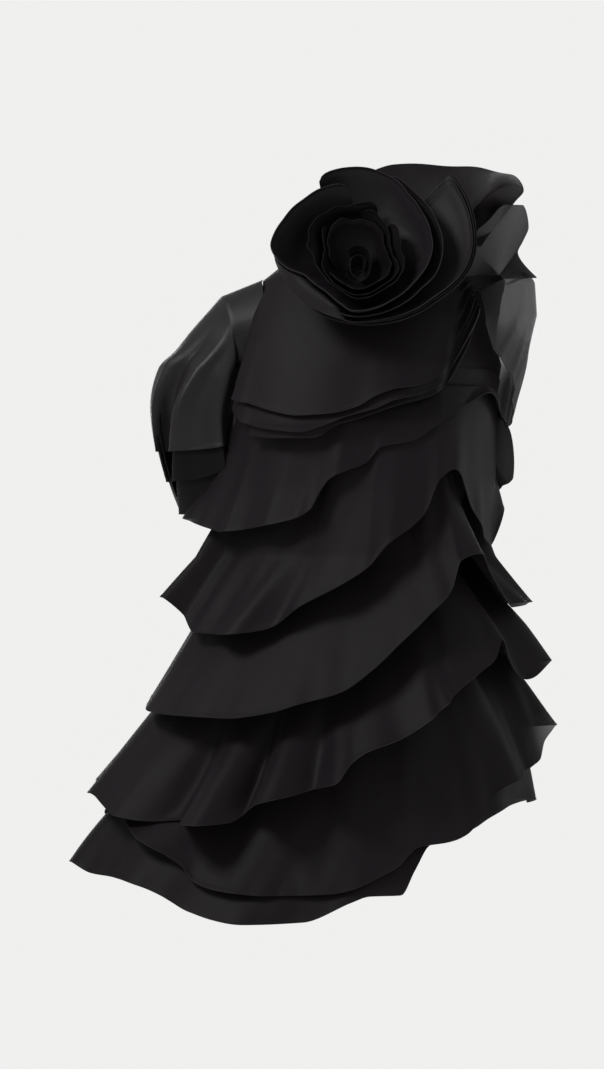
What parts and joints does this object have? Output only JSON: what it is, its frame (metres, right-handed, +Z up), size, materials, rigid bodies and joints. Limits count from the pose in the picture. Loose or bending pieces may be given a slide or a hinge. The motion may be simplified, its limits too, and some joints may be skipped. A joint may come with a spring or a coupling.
{
  "type": "ruffled mini dress",
  "caption": "Black mini dress of layered sheer cloth with diagonal flounces, flounce sleeves and a large cloth rose at the neck.",
  "frame": {"origin": "on the body's axis at the base of the neck, at the height where the shoulders carry the dress", "axes": "+Z up along the wearer, the front faces -Y, +X is the wearer's left"},
  "size_m": [0.5862, 0.4574, 0.9077],
  "materials": {
    "black_organza": "satin-faced black organza, several layers deep, with fine raw edges",
    "rose_organza": "the same organza in tight petals, very dark between them",
    "sheer_organza": "a single sheer layer that looks dark grey against the light"
  },
  "bodies": {
    "root": {"bodice_front": "black_organza", "bodice_back_left": "black_organza", "bodice_back_right": "black_organza", "skirt_front": "black_organza", "skirt_back": "black_organza", "flounce_bust": "black_organza", "flounce_waist": "black_organza", "flounce_hip": "black_organza", "flounce_thigh": "black_organza", "flounce_lower": "black_organza", "flounce_hem": "black_organza", "cape_under": "black_organza", "cape_middle": "black_organza", "cape_top": "black_organza", "sleeve_outer": "black_organza", "sleeve_second": "black_organza", "sleeve_third": "black_organza", "left_sleeve": "sheer_organza", "shoulder_ruffle": "sheer_organza", "collar_petal": "black_organza", "rose_outer_3": "rose_organza", "rose_outer_2": "rose_organza", "rose_outer_1": "rose_organza", "rose_main_2": "rose_organza", "rose_main": "rose_organza", "rose_middle": "rose_organza", "rose_inner": "rose_organza", "rose_heart": "rose_organza"}
  },
  "joints": []
}
